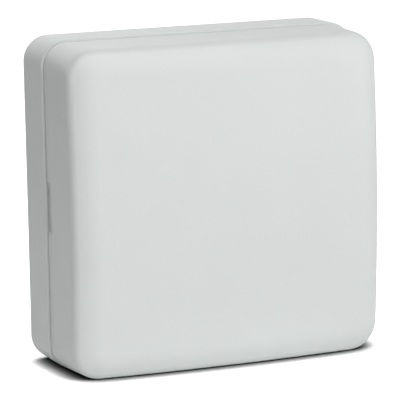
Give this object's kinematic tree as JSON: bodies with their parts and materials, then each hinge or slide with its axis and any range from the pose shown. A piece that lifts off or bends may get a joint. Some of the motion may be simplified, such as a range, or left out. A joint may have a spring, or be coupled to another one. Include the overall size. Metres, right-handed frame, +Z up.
{
  "type": "glass break sensor",
  "caption": "Square two-part wall housing with a blank pull-off front, side slot and parting line, holding a circuit board, microphone, cell, radio and tamper switches.",
  "frame": {"origin": "middle of the footprint, on the lower edge that the sensor stands on", "axes": "+X to the right seen from the front, +Y back towards the wall, +Z up; the blank front faces -Y"},
  "size_m": [0.088, 0.0364, 0.086],
  "materials": {
    "case_plastic": "fine moulded texture",
    "cover_plastic": "fine moulded texture",
    "board_laminate": "solder mask",
    "screw_steel": "zinc plated",
    "contact_nickel": "nickel plated",
    "cell_sleeve": "plain shrink sleeve",
    "cell_steel": "nickel plated",
    "seal_plastic": "moulded",
    "holder_plastic": "moulded",
    "switch_plastic": "moulded",
    "plunger_plastic": "moulded",
    "button_plastic": "moulded",
    "boot_rubber": "soft moulded",
    "felt": "pressed felt",
    "capsule_aluminium": "drawn can",
    "capacitor_aluminium": "drawn can",
    "spring_steel": "drawn wire",
    "tinned_lead": "tinned",
    "gold_pin": "plated",
    "antenna_wire": "drawn copper",
    "chip_resin": "moulded",
    "radio_laminate": "solder mask",
    "shield_tin": "tin plated",
    "crystal_steel": "nickel plated",
    "resistor_ceramic": "glazed film",
    "capacitor_ceramic": "fired body",
    "lamp_green": "clear tinted",
    "lamp_amber": "clear tinted",
    "lamp_red": "clear tinted",
    "jumper_plastic": "moulded"
  },
  "bodies": {
    "base": {"rear_shell": "case_plastic", "circuit_board": "board_laminate", "board_screws": "screw_steel", "cell_holder": "holder_plastic", "coil_contact_plate": "contact_nickel", "coil_contact": "contact_nickel", "leaf_contact": "contact_nickel", "microphone_felt": "felt", "microphone_capsule": "capsule_aluminium", "microphone_boot": "boot_rubber", "microphone_pins": "tinned_lead", "wall_tamper_housing": "switch_plastic", "wall_tamper_spring": "spring_steel", "cover_tamper_housing": "switch_plastic", "cover_tamper_spring": "spring_steel", "enrol_switch_body": "switch_plastic", "enrol_switch_frame": "screw_steel", "sensitivity_switch_body": "switch_plastic", "green_led": "lamp_green", "amber_led": "lamp_amber", "red_led": "lamp_red", "radio_board": "radio_laminate", "radio_shield": "shield_tin", "antenna_coil": "antenna_wire", "controller_body": "chip_resin", "controller_leads": "tinned_lead", "amplifier_body": "chip_resin", "amplifier_leads": "tinned_lead", "crystal_can": "crystal_steel", "capacitor_cans": "capacitor_aluminium", "capacitor_bases": "switch_plastic", "chip_resistors": "resistor_ceramic", "chip_capacitors": "capacitor_ceramic", "test_header": "switch_plastic", "test_header_pins": "gold_pin"},
    "cover": {"front_cover": "cover_plastic"},
    "cell": {"cell_can": "cell_sleeve", "cell_cap": "cell_steel", "cell_seal": "seal_plastic"},
    "cover_plunger": {"cover_tamper_plunger": "plunger_plastic"},
    "wall_plunger": {"wall_tamper_plunger": "plunger_plastic"},
    "enrol_key": {"enrol_button": "button_plastic"},
    "slider": {"sensitivity_slider": "plunger_plastic"},
    "jumper": {"test_jumper": "jumper_plastic"}
  },
  "joints": [
    {"name": "cover_pull", "type": "slide", "parent": "base", "child": "cover", "axis": [0, -1, 0], "range_m": [0, 0.045]},
    {"name": "cell_lift", "type": "slide", "parent": "base", "child": "cell", "axis": [0, -1, 0], "range_m": [0, 0.027]},
    {"name": "cover_tamper_release", "type": "slide", "parent": "base", "child": "cover_plunger", "axis": [0, -1, 0], "range_m": [0, 0.0012], "deforming": ["cover_tamper_spring"]},
    {"name": "wall_tamper_press", "type": "slide", "parent": "base", "child": "wall_plunger", "axis": [0, -1, 0], "range_m": [0, 0.001], "stiffness_N_per_m": 300, "deforming": ["wall_tamper_spring"]},
    {"name": "enrol_press", "type": "slide", "parent": "base", "child": "enrol_key", "axis": [0, 1, 0], "range_m": [0, 0.00025], "stiffness_N_per_m": 3000},
    {"name": "sensitivity_slide", "type": "slide", "parent": "base", "child": "slider", "axis": [1, 0, 0], "range_m": [0, 0.002]},
    {"name": "jumper_pull", "type": "slide", "parent": "base", "child": "jumper", "axis": [0, -1, 0], "range_m": [0, 0.0065]}
  ],
  "couplings": [
    {"joint": "cell_lift", "follows": "cover_pull", "ratio": 0.6},
    {"joint": "cover_tamper_release", "follows": "cover_pull", "ratio": 0.026667}
  ]
}
